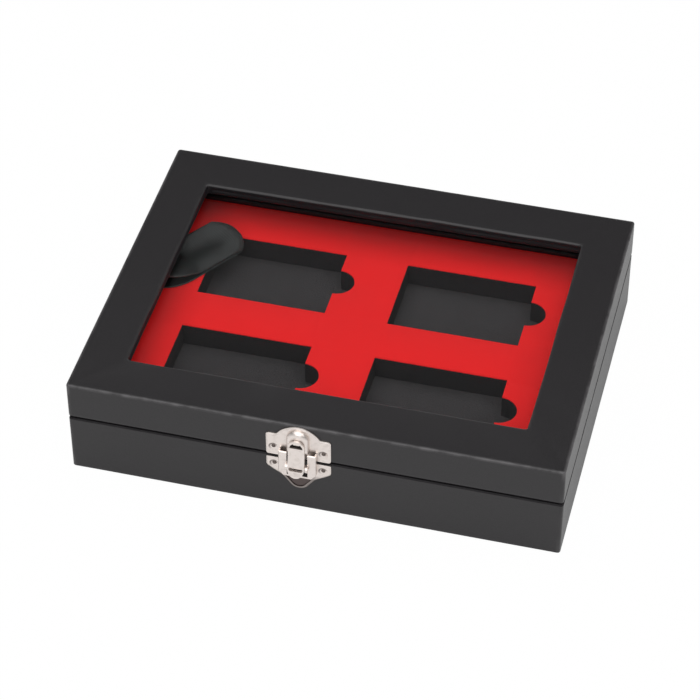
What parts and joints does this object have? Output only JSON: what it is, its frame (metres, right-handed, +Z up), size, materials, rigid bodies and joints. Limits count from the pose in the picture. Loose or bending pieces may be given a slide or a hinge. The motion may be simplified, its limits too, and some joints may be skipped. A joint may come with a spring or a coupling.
{
  "type": "lighter storage box",
  "caption": "Shallow hinged display case with a glazed lid, lighter pockets in a foam insert, a lid ribbon and a snap latch.",
  "frame": {"origin": "middle of the underside, on the surface that the box stands on", "axes": "+Z up, +X to the right along the long side, +Y back towards the hinges; the latch faces -Y"},
  "size_m": [0.208, 0.1707, 0.0463],
  "materials": {
    "leatherette": "black grained leatherette, satin",
    "board": "raw fibreboard",
    "liner_paper": "black paper, matte",
    "black_foam": "black flocked foam, matte",
    "red_flock": "red flocked card, matte",
    "clear_pane": "clear, polished",
    "bead_card": "black card",
    "ribbon_satin": "black satin",
    "nickel_plate": "bright nickel plate on stamped steel"
  },
  "bodies": {
    "base": {"bottom_liner": "liner_paper", "base_bottom_panel": "board", "base_front_wall": "board", "base_back_wall": "board", "base_left_wall": "board", "base_right_wall": "board", "base_wrap": "leatherette", "insert_floor_pad": "black_foam", "insert_foam": "black_foam", "insert_red_panel": "red_flock", "latch_lower_plate": "nickel_plate", "latch_pivot_pin": "nickel_plate", "latch_lower_nails": "nickel_plate", "hinge_left_lower_leaf": "nickel_plate", "hinge_right_lower_leaf": "nickel_plate", "hinge_left_pin": "nickel_plate", "hinge_right_pin": "nickel_plate", "hinge_lower_nails": "nickel_plate", "ribbon_stay": "ribbon_satin"},
    "lid": {"lid_top_frame": "board", "lid_front_wall": "board", "lid_back_wall": "board", "lid_left_wall": "board", "lid_right_wall": "board", "lid_wrap": "leatherette", "window_pane": "clear_pane", "window_bead_front": "bead_card", "window_bead_back": "bead_card", "window_bead_left": "bead_card", "window_bead_right": "bead_card", "latch_upper_plate": "nickel_plate", "latch_upper_nails": "nickel_plate", "hinge_left_upper_leaf": "nickel_plate", "hinge_right_upper_leaf": "nickel_plate", "hinge_upper_nails": "nickel_plate"},
    "latch_lever": {"latch_lever": "nickel_plate"}
  },
  "joints": [
    {"name": "lid_hinge", "type": "hinge", "parent": "base", "child": "lid", "pos_m": [0, 0.08205, 0.0283], "axis": [-1, 0, 0], "range_deg": [0, 80], "deforming": ["ribbon_stay"]},
    {"name": "latch_swing", "type": "hinge", "parent": "base", "child": "latch_lever", "pos_m": [-0.0054, -0.0837, 0.0263], "axis": [1, 0, 0], "range_deg": [0, 75]}
  ]
}
